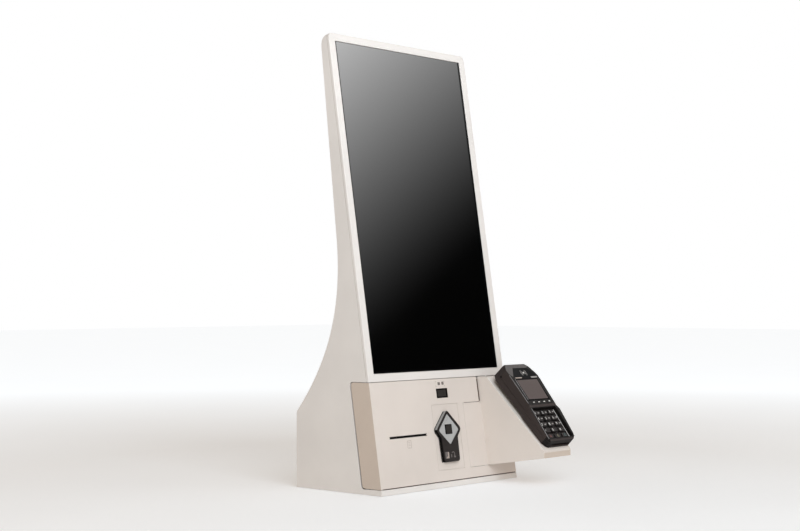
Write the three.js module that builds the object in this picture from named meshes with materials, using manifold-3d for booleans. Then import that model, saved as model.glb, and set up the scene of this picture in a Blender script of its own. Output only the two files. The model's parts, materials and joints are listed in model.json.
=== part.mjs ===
// Countertop self-service kiosk: a 27-inch portrait touchscreen on a curved cabinet, with a hinged
// service door, a receipt printer, a contactless reader, a scanner and a card terminal on a bracket.
// Millimetres, +Z up. X is the width, -Y is the side the customer stands on.
import * as THREE from 'three';
import { mergeVertices } from 'three/addons/utils/BufferGeometryUtils.js';
import Module from 'manifold-3d';

const wasm = await Module();
wasm.setup();
const radians = THREE.MathUtils.degToRad;

// ---------------------------------------------------------------- driving dimensions
const lean = radians(9);            // the whole front leans back
const bodyWidth = 378.8;
const half = bodyWidth / 2;
const frontLength = 837;            // bottom edge to top edge, measured up the leaning front
const rearWallY = 214.6;
const rearWallTop = 128.5;
const wall = 2.5;                   // moulded housing
const sheet = 2;                    // steel door and bracket
const touch = 0.35;                 // clearance between pieces that touch
const footDrop = 1;                 // how far the feet stand below the cabinet

const glass = { width: 346.3, height: 607.9, bottom: 214.4, depth: 0.6, thickness: 3 };
const bezelDepth = 5.6;

const door = { bottom: 10.7, top: 195.95, reveal: 0.8, wrap: 44.2, seam: 2.7 };
const hinge = { x: -half + 4.5, d: 38, pin: 2, ear: 4.3 };
const slot = { x0: -152.3, x1: -54.5, s: 99, height: 2.8 };
const scan = { x0: -14.2, x1: 17.9, s0: 163, s1: 180.8 };
const readerPlate = { x0: -32, x1: 40, s0: 32, s1: 151 };
const reader = { x: 1.2, raise: 6.3, back: 16 };

const bracket = {
  x0: 108, flangeX: 57.2, flangeTop: 150.8, bottom: 31,
  lipY: -127.5, lipBottom: 51.5, lipTop: 64.5, lipRadius: 7, slope: radians(44.2),
};
const notchX = 104.5;               // where the door stops beside the bracket

const terminal = { x: 155.7, along: 182, out: 0.35, tilt: radians(2.9), split: 12 };
const keypad = { pitchX: 22.2, pitchY: 13, topRow: 61.6, recess: 11, halfWidth: 36.5, low: 2.5, high: 70 };
const keyTravel = 1.5;

const lock = { y: 27.6, z: 18.5, barrel: 5, hole: 5.4, nut: 6.8 };
const printer = { x0: -163, x1: -43, y0: 36, y1: 150, top: 84 };
const roll = { y: 98, z: 48.5, radius: 38, x0: -143, x1: -63 };
const platen = { y: 50, z: 91, radius: 6 };
const lidPivot = { y: 147, z: 90 };

// ---------------------------------------------------------------- materials
const finish = (color, roughness, metalness = 0) => ({ color, roughness, metalness });
const looks = {
  shell: finish(0xe4ddd8, 0.5),
  beige: finish(0xd8cdc3, 0.5),
  steel: finish(0xa9acae, 0.4, 0.9),
  black: finish(0x1c1a1a, 0.4),
  case: finish(0x3a3230, 0.45),
  glass: finish(0x101214, 0.08),
  key: finish(0x2b2828, 0.55),
  grey: finish(0xb4b3b1, 0.35),
  board: finish(0x1e5b3a, 0.6),
  alloy: finish(0xb9bcbf, 0.35, 0.9),
  rubber: finish(0x222222, 0.85),
  paper: finish(0xf4f2ec, 0.85),
};

// ---------------------------------------------------------------- shape helpers
/** A closed BufferGeometry as a solid that can be cut and joined. */
function solidOf(geometry) {
  const bare = geometry.clone();
  bare.deleteAttribute('normal');
  bare.deleteAttribute('uv');
  const merged = mergeVertices(bare, 1e-4);
  return new wasm.Manifold(new wasm.Mesh({
    numProp: 3,
    vertProperties: new Float32Array(merged.attributes.position.array),
    triVerts: new Uint32Array(merged.index.array),
  }));
}

/** The triangles of a solid as a BufferGeometry. */
function geometryOf(solid) {
  const { numProp, vertProperties, triVerts } = solid.getMesh();
  const position = new Float32Array((vertProperties.length / numProp) * 3);
  for (let i = 0; i < position.length / 3; i += 1) {
    for (let k = 0; k < 3; k += 1) position[i * 3 + k] = vertProperties[i * numProp + k];
  }
  const geometry = new THREE.BufferGeometry();
  geometry.setAttribute('position', new THREE.BufferAttribute(position, 3));
  geometry.setIndex(new THREE.BufferAttribute(new Uint32Array(triVerts), 1));
  const flat = geometry.toNonIndexed();
  flat.computeVertexNormals();
  return flat;
}

const join = (...solids) => solids.reduce((sum, solid) => sum.add(solid));
const cut = (solid, ...tools) => tools.reduce((rest, tool) => rest.subtract(tool), solid);
const leaned = (geometry) => geometry.rotateX(-lean);

function shapeOf(outline) {
  return outline instanceof THREE.Shape ? outline : new THREE.Shape(outline);
}

/** An outline drawn in two axes, pushed along the third from one value to the other. */
function prism(axis, outline, from, to, curveSegments = 5) {
  const options = { depth: to - from, bevelEnabled: false, curveSegments };
  const geometry = new THREE.ExtrudeGeometry(shapeOf(outline), options).translate(0, 0, from);
  if (axis === 'x') geometry.applyMatrix4(new THREE.Matrix4().set(0, 0, 1, 0, 1, 0, 0, 0, 0, 1, 0, 0, 0, 0, 0, 1));
  if (axis === 'y') geometry.translate(0, 0, -from - to).rotateX(Math.PI / 2);
  return geometry;
}

const points = (...pairs) => pairs.map(([a, b]) => new THREE.Vector2(a, b));
const box = (x0, x1, y0, y1, z0, z1) => prism('z', rectangle(x0, y0, x1, y1), z0, z1);

function rectangle(a0, b0, a1, b1, radius = 0) {
  if (radius === 0) return new THREE.Shape(points([a0, b0], [a1, b0], [a1, b1], [a0, b1]));
  return rounded(points([a0, b0], [a1, b0], [a1, b1], [a0, b1]), [radius, radius, radius, radius]);
}

/** A polygon whose corners are rounded, each with its own radius. */
function rounded(corners, radii) {
  const shape = new THREE.Shape();
  corners.forEach((corner, i) => {
    const before = corners[(i + corners.length - 1) % corners.length];
    const after = corners[(i + 1) % corners.length];
    const inward = before.clone().sub(corner).normalize();
    const onward = after.clone().sub(corner).normalize();
    const turn = inward.angleTo(onward);
    const reach = radii[i] / Math.tan(turn / 2);
    const start = corner.clone().addScaledVector(inward, reach);
    const end = corner.clone().addScaledVector(onward, reach);
    if (i === 0) shape.moveTo(start.x, start.y);
    else shape.lineTo(start.x, start.y);
    if (radii[i] > 0) shape.quadraticCurveTo(corner.x, corner.y, end.x, end.y);
  });
  shape.closePath();
  return shape;
}

/** A round bar along an axis. The centre is given in the other two axes. */
function bar(axis, radius, from, to, centre = [0, 0], segments = 24) {
  const geometry = new THREE.CylinderGeometry(radius, radius, to - from, segments);
  const middle = (from + to) / 2;
  if (axis === 'x') return geometry.rotateZ(-Math.PI / 2).translate(middle, centre[0], centre[1]);
  if (axis === 'y') return geometry.translate(centre[0], middle, centre[1]);
  return geometry.rotateX(Math.PI / 2).translate(centre[0], centre[1], middle);
}

// ---------------------------------------------------------------- scene graph
const kiosk = new THREE.Group();
const face = new THREE.Group();     // X, depth behind the front, length up the front
face.rotation.x = -lean;
kiosk.add(face);

function add(group, name, shape, look) {
  const geometry = shape instanceof wasm.Manifold ? geometryOf(shape) : shape;
  const mesh = new THREE.Mesh(geometry, new THREE.MeshStandardMaterial(looks[look]));
  mesh.name = name;
  group.add(mesh);
}

// ---------------------------------------------------------------- cabinet outline
const frontY = (z) => z * Math.tan(lean);
const depthY = (z, d) => frontY(z) + d / Math.cos(lean);

/** The side view of the cabinet, shrunk inwards by an amount: the rear line from bottom to top. */
function rearLine(inset) {
  const foot = new THREE.LineCurve(new THREE.Vector2(rearWallY, 0), new THREE.Vector2(rearWallY, rearWallTop));
  const shoulder = new THREE.QuadraticBezierCurve(...points([rearWallY, rearWallTop], [215, 136.2], [213.2, 139.2]));
  const sweep = new THREE.CubicBezierCurve(...points([213.2, 139.2], [123.1, 241.6], [97.6, 338.7], [110.6, 456]));
  const topZ = frontLength * Math.cos(lean);
  const crown = new THREE.QuadraticBezierCurve(
    ...points([148.3, 800], [150.4, 822.6], [frontY(topZ) + 1, topZ - 0.4]));
  const line = [...foot.getPoints(1), ...shoulder.getPoints(3).slice(1), ...sweep.getPoints(24).slice(1),
    ...crown.getPoints(6)];
  if (inset === 0) return line;
  return line.map((point, i) => {
    const a = line[Math.max(i - 1, 0)];
    const b = line[Math.min(i + 1, line.length - 1)];
    const along = b.clone().sub(a).normalize();
    return point.clone().addScaledVector(new THREE.Vector2(-along.y, along.x), inset);
  });
}

function cabinetBlock() {
  const rear = rearLine(0);
  const block = solidOf(prism('x', [new THREE.Vector2(0, 0), ...rear], -half, half));
  return block.intersect(solidOf(frontOutline(-20, 260)));
}

/** The rounded front view, pushed back through the cabinet. */
function frontOutline(from, to) {
  const corner = 10;
  const outline = rounded(
    points([-half, -60], [half, -60], [half, frontLength], [-half, frontLength]), [0, 0, corner, corner]);
  return leaned(prism('y', outline, from, to, 4));
}

const leanedBox = (...limits) => solidOf(leaned(box(...limits)));
const plainBox = (...limits) => solidOf(box(...limits));

// ---------------------------------------------------------------- housing, base and bezel
const ventColumns = 9;
const cornerTop = frontLength - 11; // the side walls end below the rounded top corners
const inlet = { x: 144, z: 62, width: 28, height: 21 };
const rocker = { x: 144, z: 36, width: 22, height: 14 };
const cover = { x: 105, z0: 22, z1: 118 };

function cabinetShell() {
  const rear = rearLine(wall);
  const inner = prism('x', [new THREE.Vector2(-40, -1), new THREE.Vector2(rear[0].x, -1), ...rear,
    new THREE.Vector2(60, rear.at(-1).y)], -half + wall, half - wall);
  const sill = door.bottom - door.reveal; // it drops towards the hinge, to clear the opening door
  const sideView = rounded(points(
    [-60, sill], [20, sill], [depthY(door.bottom, door.wrap + door.seam), sill - 1.3],
    [depthY(door.top, door.wrap + door.seam), door.top + door.reveal], [-60, door.top + door.reveal]),
    [0, 0, 7, 7, 0]);
  let shell = cut(
    cabinetBlock(), solidOf(inner), solidOf(prism('x', sideView, -half - 5, half + 5, 4)),
    leanedBox(-half - 5, half + 5, -20, bezelDepth + 0.3, 180, 900),
    solidOf(prism('y', rectangle(-cover.x, cover.z0, cover.x, cover.z1, 5), 205, 225)),
    solidOf(prism('y', rectangle(inlet.x - inlet.width / 2, inlet.z - inlet.height / 2,
      inlet.x + inlet.width / 2, inlet.z + inlet.height / 2, 2), 205, 225)),
    solidOf(prism('y', rectangle(rocker.x - rocker.width / 2, rocker.z - rocker.height / 2,
      rocker.x + rocker.width / 2, rocker.z + rocker.height / 2), 205, 225)));
  for (let i = 0; i < ventColumns; i += 1) {
    const x = (i - (ventColumns - 1) / 2) * 18;
    shell = cut(shell, solidOf(prism('y', rectangle(x - 3, 690, x + 3, 740, 2.9), 131, 160, 3)));
  }
  return shell;
}

/** The shell in three closed pieces: two flat side walls, and the rear wall with its rounded crown. */
function housingPieces() {
  const shell = cabinetShell();
  const left = leanedBox(-half - 5, -half + wall, -20, 260, -60, cornerTop);
  const right = leanedBox(half - wall, half + 5, -20, 260, -60, cornerTop);
  const [leftSpace, rightSpace] = [
    leanedBox(-half - 5, -half + wall + touch, -20, 260, -60, cornerTop + touch),
    leanedBox(half - wall - touch, half + 5, -20, 260, -60, cornerTop + touch)];
  return [shell.intersect(left), shell.intersect(right), cut(shell, leftSpace, rightSpace)];
}

const floorTop = 3;
const footPlaces = [[-165, 30], [165, 30], [-165, 190], [165, 190]];

function basePlate() {
  const insideX = half - wall - touch;
  const rail = door.bottom - door.reveal;
  const outline = points([0, 0], [rearWallY - wall - touch, 0], [rearWallY - wall - touch, floorTop],
    [depthY(floorTop, 2.5), floorTop], [depthY(rail, 2.5), rail], [frontY(rail), rail]);
  let plate = solidOf(prism('x', outline, -insideX, insideX));
  for (const [x, y] of footPlaces) plate = cut(plate, solidOf(bar('z', 12.5, -1, 1.8, [x, y])));
  const strike = join(solidOf(box(160.5, 177, 21, 42, floorTop - 1, floorTop + 1.6)),
    solidOf(box(163, 177, 21, 23, floorTop - 1, 12)));
  return join(plate, strike);
}

function frontBezel() {
  const side = glass.width / 2 + 0.6;
  const low = glass.bottom - 0.6;
  const high = glass.bottom + glass.height + 0.6;
  return cut(solidOf(frontOutline(0, bezelDepth)),
    leanedBox(-side, side, -5, glass.depth + glass.thickness + touch, low, high),
    leanedBox(-side + 5, side - 5, -5, 20, low + 5, high - 5),
    plainBox(-half - 5, half + 5, -60, 200, -100, door.top + door.reveal));
}

function rearCover() {
  let plate = solidOf(prism('y', rectangle(-cover.x + 0.5, cover.z0 + 0.5, cover.x - 0.5, cover.z1 - 0.5, 4.6),
    rearWallY - 2, rearWallY - 0.2));
  const flange = prism('y', rectangle(-cover.x - 5, cover.z0 - 5, cover.x + 5, cover.z1 + 5, 4),
    rearWallY - wall - touch - 1.5, rearWallY - wall - touch);
  const core = prism('y', rectangle(-cover.x + 3, cover.z0 + 3, cover.x - 3, cover.z1 - 3), 205, rearWallY - 1.9);
  const rim = cut(solidOf(flange), solidOf(core));
  const bridge = cut(
    solidOf(prism('y', rectangle(-cover.x + 0.5, cover.z0 + 0.5, cover.x - 0.5, cover.z1 - 0.5, 4.6),
      rearWallY - wall - touch - 0.5, rearWallY - 1)),
    solidOf(prism('y', rectangle(-cover.x + 3, cover.z0 + 3, cover.x - 3, cover.z1 - 3), 205, 220)));
  plate = join(plate, rim, bridge);
  for (let i = 0; i < 12; i += 1) {
    const x = (i - 5.5) * 15;
    plate = cut(plate, solidOf(prism('y', rectangle(x - 2.5, 45, x + 2.5, 95, 2.4), 205, 220, 3)));
  }
  return plate;
}

add(kiosk, 'base_plate', basePlate(), 'shell');
footPlaces.forEach(([x, y], i) => {
  const place = ['front_left', 'front_right', 'rear_left', 'rear_right'][i];
  add(kiosk, `foot_${place}`, bar('z', 12, -footDrop, 1.8 - touch, [x, y]), 'rubber');
});
housingPieces().forEach((piece, i) => add(kiosk, ['left_wall', 'right_wall', 'rear_housing'][i], piece, 'shell'));
add(kiosk, 'front_bezel', frontBezel(), 'shell');
add(kiosk, 'rear_cover', rearCover(), 'shell');

// ---------------------------------------------------------------- screen stack and electronics
function screenStack() {
  const x = glass.width / 2;
  const top = glass.bottom + glass.height;
  add(face, 'touch_glass', box(-x, x, glass.depth, glass.depth + glass.thickness, glass.bottom, top), 'glass');
  const panel = join(
    solidOf(box(-x + 3, x - 3, bezelDepth + touch, 13, glass.bottom + 4, top - 4)),
    solidOf(box(-150, 150, 12.5, 15.5, glass.bottom + 30, top - 60)));
  add(face, 'lcd_panel', panel, 'black');
  const frame = cut(solidOf(box(-160, 160, 15.9, 17.4, 224, 690)),
    solidOf(box(-120, 120, 10, 20, 470, 650)), solidOf(box(-150, 150, 10, 20, 224, 230)));
  add(face, 'panel_frame', frame, 'steel');
}

function mainBoard() {
  const chips = [[-95, -60, 262, 300, 4], [-40, -10, 262, 275, 6], [20, 50, 330, 362, 3], [55, 82, 250, 320, 8]];
  const parts = chips.map(([x0, x1, s0, s1, tall]) => solidOf(box(x0, x1, 23.5, 25 + tall, s0, s1)));
  const posts = [[-100, 248], [80, 248], [-100, 372], [80, 372]]
    .map(([x, s]) => solidOf(bar('y', 3, 17.4 + touch, 23.5, [x, s], 12)));
  return join(solidOf(box(-110, 90, 23, 24.8, 240, 380)), ...parts, ...posts);
}

function heatSink() {
  let sink = solidOf(box(-45, 15, 25.2, 28, 285, 345));
  for (let i = 0; i < 7; i += 1) sink = join(sink, solidOf(box(-45 + i * 9.6, -43 + i * 9.6, 27, 38, 285, 345)));
  return sink;
}

screenStack();
add(face, 'main_board', mainBoard(), 'board');
add(face, 'heat_sink', heatSink(), 'alloy');

function powerSupply() {
  const can = cut(solidOf(box(30, 118, 120, 198, floorTop + touch, 48)), solidOf(box(32, 118.5, 122, 196, 6, 46)));
  const strip = solidOf(box(31, 112, 126, 190, 5, 12));
  const coil = solidOf(bar('z', 14, 11, 38, [75, 158], 16));
  return join(can, strip, coil);
}

add(kiosk, 'power_supply', powerSupply(), 'alloy');

// ---------------------------------------------------------------- mains inlet and power switch
function acInlet() {
  const { x, z, width, height } = inlet;
  const w = width / 2 - 0.4;
  const h = height / 2 - 0.4;
  const front = rearWallY - 0.1;
  const body = join(
    solidOf(prism('y', rectangle(x - w, z - h, x + w, z + h, 2), front - 22, front)),
    solidOf(prism('y', rectangle(x - w - 3, z - h - 3, x + w + 3, z + h + 3, 2), front - 5.5, front - wall - touch)));
  const pocket = prism('y', rectangle(x - 12, z - 8, x + 12, z + 8, 3), front - 17, front + 5);
  const pins = [-7, 0, 7].map((dx) => solidOf(box(x + dx - 1, x + dx + 1, front - 19, front - 6, z - 3, z + 3)));
  return join(cut(body, solidOf(pocket)), ...pins);
}

function powerSwitch() {
  const { x, z, width, height } = rocker;
  const w = width / 2 - 0.6;
  const h = height / 2 - 0.6;
  const front = rearWallY;
  const side = points([front - 9, z - 4], [front - 2.2, z - h], [front - 0.9, z - h], [front - 2.2, z],
    [front + 0, z + h], [front - 3, z + h], [front - 9, z + 4]);
  return prism('x', side, x - w, x + w);
}

add(kiosk, 'ac_inlet', acInlet(), 'black');
add(kiosk, 'power_switch', powerSwitch(), 'black');

// ---------------------------------------------------------------- service door
const readerOutline = (grow) => rounded(points(
  [reader.x, 140.2 + grow * 1.4], [reader.x - 34.8 - grow * 1.2, 104.5], [reader.x - 22.9 - grow, 90.5 - grow * 0.4],
  [reader.x - 21.5 - grow, 45.2 - grow], [reader.x + 21.5 + grow, 45.2 - grow],
  [reader.x + 22.9 + grow, 90.5 - grow * 0.4], [reader.x + 34.8 + grow * 1.2, 104.5]), [5, 8, 5, 6, 6, 5, 8]);

function serviceDoor() {
  const { bottom, top, wrap } = door;
  const outer = rounded(points([frontY(bottom), bottom], [depthY(bottom, wrap), bottom],
    [depthY(top, wrap), top], [frontY(top), top]), [0, 6.5, 6.5, 0]);
  const skin = cut(solidOf(prism('x', outer, -half, half, 4)),
    leanedBox(-half + sheet, half - sheet, sheet, 90, -60, 300));
  const tabs = [[19.5, 24], [197, 201]].map(([s0, s1]) => join(
    leanedBox(-half + 1, hinge.x + hinge.ear, hinge.d - 8, hinge.d, s0, s1),
    solidOf(leaned(bar('z', hinge.ear, s0, s1, [hinge.x, hinge.d])))));
  const low = bracket.bottom - 0.4;
  return cut(join(skin, ...tabs),
    solidOf(leaned(bar('z', hinge.pin + 0.3, 0, 230, [hinge.x, hinge.d]))),
    leanedBox(bracket.flangeX - 0.4, half + 5, -5, 90, low, bracket.flangeTop + 0.5),
    leanedBox(notchX, half + 5, -5, 90, low + 60, 260),
    leanedBox(slot.x0, slot.x1, -5, 5, slot.s - slot.height / 2, slot.s + slot.height / 2),
    leanedBox(scan.x0, scan.x1, -5, 5, scan.s0, scan.s1),
    leanedBox(readerPlate.x0 - 0.4, readerPlate.x1 + 0.4, -5, 5, readerPlate.s0 - 0.4, readerPlate.s1 + 0.4),
    solidOf(bar('x', lock.hole, half - 5, half + 5, [lock.y, lock.z])));
}

function readerParts() {
  const p = readerPlate;
  const plate = cut(
    join(solidOf(box(p.x0, p.x1, 0, sheet + 0.5, p.s0, p.s1)),
      solidOf(box(p.x0 - 4, p.x1 + 4, sheet + touch, sheet + 1.8, p.s0 - 4, p.s1 + 4))),
    solidOf(prism('y', readerOutline(-1.7), -5, 10)));
  add(face, 'reader_plate', plate, 'beige');

  const diamond = (grow) => rounded(points([reader.x, 133 + grow], [reader.x - 27.6 - grow, 103.5],
    [reader.x, 76.8 - grow], [reader.x + 27.6 + grow, 103.5]), [3, 4, 3, 4]);
  const square = (grow) => rectangle(reader.x - 9.6 - grow, 96 - grow, reader.x + 9.6 + grow, 113.5 + grow, 0.8);
  const bezel = cut(
    join(solidOf(prism('y', readerOutline(0), -reader.raise, -touch)),
      solidOf(prism('y', readerOutline(-2.2), -1, reader.back))),
    solidOf(prism('y', diamond(0.3), -10, -reader.raise + 1.6)));
  add(face, 'reader_bezel', bezel, 'black');
  const window = cut(solidOf(prism('y', diamond(0), -reader.raise + 0.5, -reader.raise + 1.25)),
    solidOf(prism('y', square(0.3), -10, 10)));
  add(face, 'reader_window', window, 'grey');
  add(face, 'reader_eye', prism('y', square(0), -reader.raise + 0.6, -reader.raise + 1.25), 'glass');
}

function scannerParts() {
  const pane = join(
    solidOf(box(scan.x0 + 0.4, scan.x1 - 0.4, 0.5, sheet + 0.6, scan.s0 + 0.4, scan.s1 - 0.4)),
    solidOf(box(scan.x0 - 3, scan.x1 + 3, sheet + touch, sheet + 1.8, scan.s0 - 3, scan.s1 + 3)));
  add(face, 'scan_window', pane, 'glass');
  const engine = cut(solidOf(box(scan.x0 - 3, scan.x1 + 3, sheet + 2.2, 24, scan.s0 - 4, scan.s1 + 6)),
    solidOf(box(scan.x0 + 3, scan.x1 - 3, 0, 15, scan.s0 + 2, scan.s1 - 2)));
  add(face, 'scan_engine', engine, 'black');
}

add(kiosk, 'service_door', serviceDoor(), 'beige');
readerParts();
scannerParts();

// ---------------------------------------------------------------- door hinges and lock
const pinBar = (s0, s1) => solidOf(leaned(bar('z', hinge.pin, s0, s1, [hinge.x, hinge.d], 16)));

function lowerHinge() {
  const block = cut(leanedBox(-half + wall + touch, -178.5, hinge.d - 6, hinge.d + 5.5, 0, 15.8),
    plainBox(-half - 5, -170, -10, 90, -20, floorTop + touch));
  return join(block, pinBar(14, 24.6));
}

function upperHinge() {
  return join(leanedBox(-half + wall + touch, -178.5, hinge.d - 6, hinge.d + 6, 206.8, 219), pinBar(196.4, 208));
}

function lockBarrel() {
  const centre = [lock.y, lock.z];
  return cut(join(solidOf(bar('x', lock.barrel, 177, half - 0.3, centre)),
    solidOf(bar('x', lock.nut, 184.2, half - sheet - touch, centre, 6))), solidOf(bar('x', 3.4, 170, 195, centre)));
}

function lockCam() {
  const centre = [lock.y, lock.z];
  const plug = cut(solidOf(bar('x', 3, 172, half - 0.6, centre)),
    solidOf(box(half - 6, half + 2, lock.y - 2.1, lock.y + 2.1, lock.z - 0.5, lock.z + 0.5)));
  const tongue = prism('x', rectangle(lock.y - 4, lock.z - 4, lock.y + 12, lock.z + 4, 3.5), 171.5, 174);
  return join(plug, solidOf(tongue));
}

add(kiosk, 'lower_hinge', lowerHinge(), 'steel');
add(kiosk, 'upper_hinge', upperHinge(), 'steel');
add(kiosk, 'lock_barrel', lockBarrel(), 'alloy');
add(kiosk, 'lock_cam', lockCam(), 'alloy');

// ---------------------------------------------------------------- receipt printer
function printerBody() {
  const { x0, x1, y0, y1, top } = printer;
  const [earThick, earTop] = [1.6, 94];
  const ears = [x0, x1 - earThick].map((x) => solidOf(box(x, x + earThick, y1 - 9, y1, top - 1, earTop)));
  const block = join(solidOf(box(x0, x1, y0, y1, floorTop + touch, top)), ...ears);
  return cut(block,
    solidOf(bar('x', 2.3, x0 - 5, x1 + 5, [lidPivot.y, lidPivot.z], 16)),
    solidOf(box(roll.x0 - 2.5, roll.x1 + 2.5, 57, 139, 7, top + 5)),
    solidOf(box(roll.x0 - 2.5, roll.x1 + 2.5, 43.5, 60, 70, top + 5)),
    solidOf(box(x0 + 3, roll.x0 - 6, y0 + 4, y1 - 4, 7, top + 5)),
    solidOf(box(roll.x1 + 6, x1 - 3, y0 + 4, y1 - 4, 7, top + 5)));
}

function printHead() {
  const outline = points([37, printer.top + touch], [43, printer.top + touch], [43, 94], [40, 96.5], [37, 96.5]);
  return prism('x', outline, roll.x0 - 2, roll.x1 + 2);
}

function printerLid() {
  const plate = prism('x', rounded(points([54, 92], [150, 88], [150, 94], [148, 98], [54, 98]), [2, 1, 1, 2, 3]),
    printer.x0 + 2, printer.x1 - 2);
  const arms = [roll.x0 - 6, roll.x1 + 2.5].map((x) => join(
    solidOf(prism('x', rectangle(platen.y - 4, platen.z - 4, 60, 97, 3), x, x + 3.5))));
  const lid = cut(solidOf(plate), solidOf(box(roll.x0 - 1, roll.x1 + 1, 50, 62, 80, 110)));
  const pivot = solidOf(bar('x', 2, printer.x0 + 0.2, printer.x1 - 0.2, [lidPivot.y, lidPivot.z], 16));
  return cut(join(lid, pivot, ...arms), solidOf(bar('x', 2.3, -200, 0, [platen.y, platen.z], 16)));
}

function platenRoller() {
  return join(solidOf(bar('x', platen.radius, roll.x0 - 1, roll.x1 + 1, [platen.y, platen.z])),
    solidOf(bar('x', 2, roll.x0 - 7, roll.x1 + 7, [platen.y, platen.z], 16)));
}

function paperRoll() {
  const centre = [roll.y, roll.z];
  return cut(solidOf(bar('x', roll.radius, roll.x0, roll.x1, centre, 40)),
    solidOf(bar('x', 6.5, roll.x0 - 1, roll.x1 + 1, centre)));
}

add(kiosk, 'printer_body', printerBody(), 'black');
add(kiosk, 'print_head', printHead(), 'steel');
add(kiosk, 'printer_lid', printerLid(), 'black');
add(kiosk, 'platen_roller', platenRoller(), 'rubber');
add(kiosk, 'paper_roll', paperRoll(), 'paper');

// ---------------------------------------------------------------- terminal bracket and its post
const slopeTop = {
  y: bracket.lipY + (door.top - bracket.lipTop) / Math.tan(bracket.slope),
  z: door.top,
};

function terminalBracket() {
  const { x0, flangeX, flangeTop, bottom, lipY, lipBottom, lipTop } = bracket;
  const rootZ = bottom * Math.cos(lean);
  const rootY = bottom * Math.sin(lean);
  const outline = (inset, back) => {
    const dy = inset / Math.tan(bracket.slope / 2 + Math.PI / 4);
    const corners = points([rootY + back, rootZ + inset - back * Math.tan(lean)],
      [lipY + inset, lipBottom + inset * 1.1], [lipY + inset, lipTop - dy],
      [slopeTop.y + inset * 0.4, slopeTop.z - inset], [frontY(slopeTop.z) + back, slopeTop.z - inset]);
    return rounded(corners, [0, 0, bracket.lipRadius - inset, 0, 0]);
  };
  const box3 = cut(solidOf(prism('x', outline(0, 0), x0, half)),
    solidOf(prism('x', outline(sheet, 5), x0 + sheet, half - sheet)));
  const sideView = rounded(points([rootY, rootZ], [depthY(rootZ, door.wrap), rootZ - door.wrap * Math.sin(lean)],
    [depthY(door.top, door.wrap), door.top], [frontY(door.top), door.top]), [0, 2, 6.5, 0]);
  const rightSkin = prism('x', sideView, half - sheet, half, 4);
  const flange = leanedBox(flangeX, x0 + sheet, 0, sheet, bottom, flangeTop);
  const leftReturn = leanedBox(x0, x0 + sheet, 0, 11, bottom, 197);
  return join(box3, solidOf(rightSkin), flange, leftReturn);
}

function supportPost() {
  const channel = cut(leanedBox(113, 158, 12, 40, 0, 190), leanedBox(115, 156, 14, 60, -20, 220),
    plainBox(100, 170, -20, 90, -40, floorTop + touch));
  return join(channel, solidOf(box(113, 158, 14, 60, floorTop + touch, floorTop + 2.4)));
}

add(kiosk, 'terminal_bracket', terminalBracket(), 'beige');
add(kiosk, 'support_post', supportPost(), 'steel');

// ---------------------------------------------------------------- card terminal
const slope = new THREE.Group();    // Y runs up the slope, Z out of it
slope.position.set(0, slopeTop.y, slopeTop.z);
slope.rotation.x = bracket.slope;
kiosk.add(slope);
const pos = new THREE.Group();      // the terminal, from the middle of its lower end
pos.position.set(terminal.x, -terminal.along, terminal.out);
pos.rotation.x = terminal.tilt;
slope.add(pos);

const caseSide = points([0, 0], [179, 0], [175, 32.25], [80.5, 27], [76.5, 25.3], [5, 19], [2.5, 16.2], [-0.6, 5.6]);

/** Half of the terminal's plan view, from its lower end: the keypad end is the wider one. */
const leftSide = points([28, -1], [36, 3], [41, 12], [43, 69], [40.5, 80], [43.5, 150], [44.5, 163], [38, 176]);
const rightSide = points([28, -1], [36, 3], [41.5, 13], [46, 69], [40, 80], [42, 147], [39.4, 154], [30, 169], [20, 176]);

function casePlan(inset) {
  const inward = ({ x, y }, side) => new THREE.Vector2(
    side * (x - inset), THREE.MathUtils.clamp(y, -1 + inset, 176 - inset));
  return new THREE.Shape([
    ...rightSide.map((point) => inward(point, 1)), ...leftSide.map((point) => inward(point, -1)).reverse()]);
}

const deck = { y: 5, z: 19, tilt: Math.atan2(25.3 - 19, 76.5 - 5) };
const head = { y: 80.5, z: 27, tilt: Math.atan2(32.2 - 27, 174 - 80.5) };

/** Puts a geometry drawn on the keypad deck or the head's face into the terminal's frame. */
const onto = (plane, geometry) => geometry.rotateX(plane.tilt).translate(0, plane.y, plane.z);

const lens = { width: 66, low: 10, high: 60 };
const softKeys = { pitch: 15.9, y: 4.6, width: 9, height: 4 };

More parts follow.
